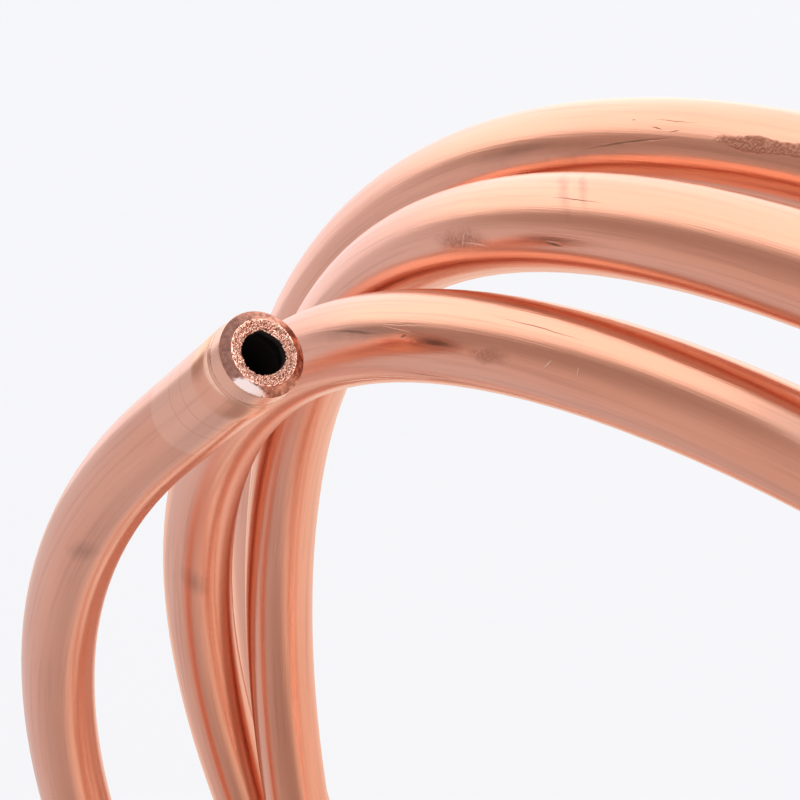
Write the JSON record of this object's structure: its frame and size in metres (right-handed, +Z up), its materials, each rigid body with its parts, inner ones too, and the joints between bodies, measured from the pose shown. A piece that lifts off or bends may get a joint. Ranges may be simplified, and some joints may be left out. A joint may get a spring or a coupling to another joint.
{
  "type": "copper tube coil",
  "caption": "Soft copper tube wound into a loose open coil that stands on its rim, with both ends cut square and open for fittings.",
  "frame": {"origin": "on the floor, under the middle of the coil's box", "axes": "+Z up from the floor, +Y along the coil's axis away from the free end, +X to the right of a viewer who looks along +Y"},
  "size_m": [0.2407, 0.0436, 0.1925],
  "materials": {
    "copper": "bright drawn copper, lightly scuffed"
  },
  "bodies": {
    "root": {"copper_tube": "copper"}
  },
  "joints": []
}
